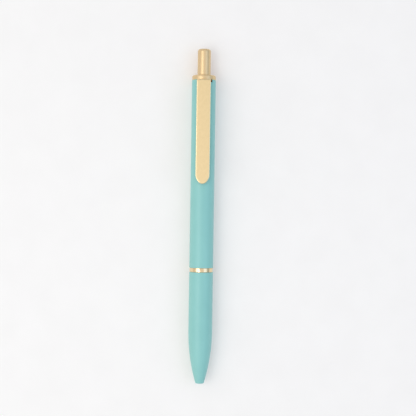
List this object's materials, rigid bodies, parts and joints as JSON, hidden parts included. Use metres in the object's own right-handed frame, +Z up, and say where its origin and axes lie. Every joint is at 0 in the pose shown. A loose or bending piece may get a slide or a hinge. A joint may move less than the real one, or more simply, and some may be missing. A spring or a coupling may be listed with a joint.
{
  "type": "gel pen",
  "caption": "Slim retractable gel pen with a push button, a screw-apart metal barrel, a polished centre ring and a flat pocket clip.",
  "frame": {"origin": "on the table, under the middle of the pen's length and width as it lies on its back", "axes": "+Y along the pen from the nose to the push button, +Z up through the clip, +X to the right seen from above with the nose nearest"},
  "size_m": [0.01, 0.1408, 0.0118],
  "materials": {
    "teal_coat": "satin",
    "satin_gold": "satin",
    "clip_gold": "satin",
    "polished_gold": "polished",
    "brass": "satin",
    "white_plastic": "matte",
    "grey_plastic": "matte",
    "blue_plastic": "matte",
    "clear_plastic": "gloss",
    "gel_ink": "gloss",
    "clear_grease": "gloss",
    "nickel_silver": "polished",
    "carbide": "polished",
    "spring_steel": "satin"
  },
  "bodies": {
    "barrel": {"rear_barrel": "teal_coat", "top_collar": "satin_gold", "cam_sleeve": "white_plastic", "barrel_coupling": "brass"},
    "clip": {"clip": "clip_gold"},
    "knock": {"push_button": "satin_gold", "plunger": "grey_plastic"},
    "refill": {"refill_tube": "clear_plastic", "tip_holder": "clear_plastic", "point_cone": "nickel_silver", "ball_spring": "spring_steel", "ink_column": "gel_ink", "ink_follower": "clear_grease", "refill_end_plug": "white_plastic"},
    "rotor": {"cam_rotor": "blue_plastic"},
    "ball": {"writing_ball": "carbide"},
    "ring": {"center_ring": "polished_gold"},
    "front": {"front_barrel": "teal_coat", "thread_insert": "brass", "return_spring": "spring_steel"}
  },
  "joints": [
    {"name": "knock_press", "type": "slide", "parent": "barrel", "child": "knock", "axis": [0, -1, 0], "range_m": [0, 0.006]},
    {"name": "refill_feed", "type": "slide", "parent": "barrel", "child": "refill", "axis": [0, -1, 0], "range_m": [0, 0.00541], "stiffness_N_per_m": 180, "springref_m": -0.006, "deforming": ["return_spring"]},
    {"name": "rotor_turn", "type": "hinge", "parent": "refill", "child": "rotor", "pos_m": [0, 0.0368, 0.005], "axis": [0, 1, 0], "range_deg": [0, 22.55]},
    {"name": "front_barrel_turn", "type": "hinge", "parent": "ring", "child": "front", "pos_m": [0, -0.0235, 0.005], "axis": [0, -1, 0], "range_deg": [0, 2880.05]},
    {"name": "ring_travel", "type": "slide", "parent": "barrel", "child": "ring", "axis": [0, -1, 0], "range_m": [0, 0.006]},
    {"name": "clip_flex", "type": "hinge", "parent": "barrel", "child": "clip", "pos_m": [0, 0.05675, 0.0099], "axis": [-1, 0, 0], "range_deg": [0, 3.5], "stiffness_Nm_per_rad": 0.3},
    {"name": "ball_roll", "type": "hinge", "parent": "refill", "child": "ball", "pos_m": [0, -0.0688, 0.005], "axis": [1, 0, 0], "continuous": true}
  ],
  "couplings": [
    {"joint": "refill_feed", "follows": "knock_press", "ratio": 0.9},
    {"joint": "rotor_turn", "follows": "knock_press", "rad_per_m": 65.45},
    {"joint": "front_barrel_turn", "follows": "ring_travel", "rad_per_m": 8377.6}
  ]
}
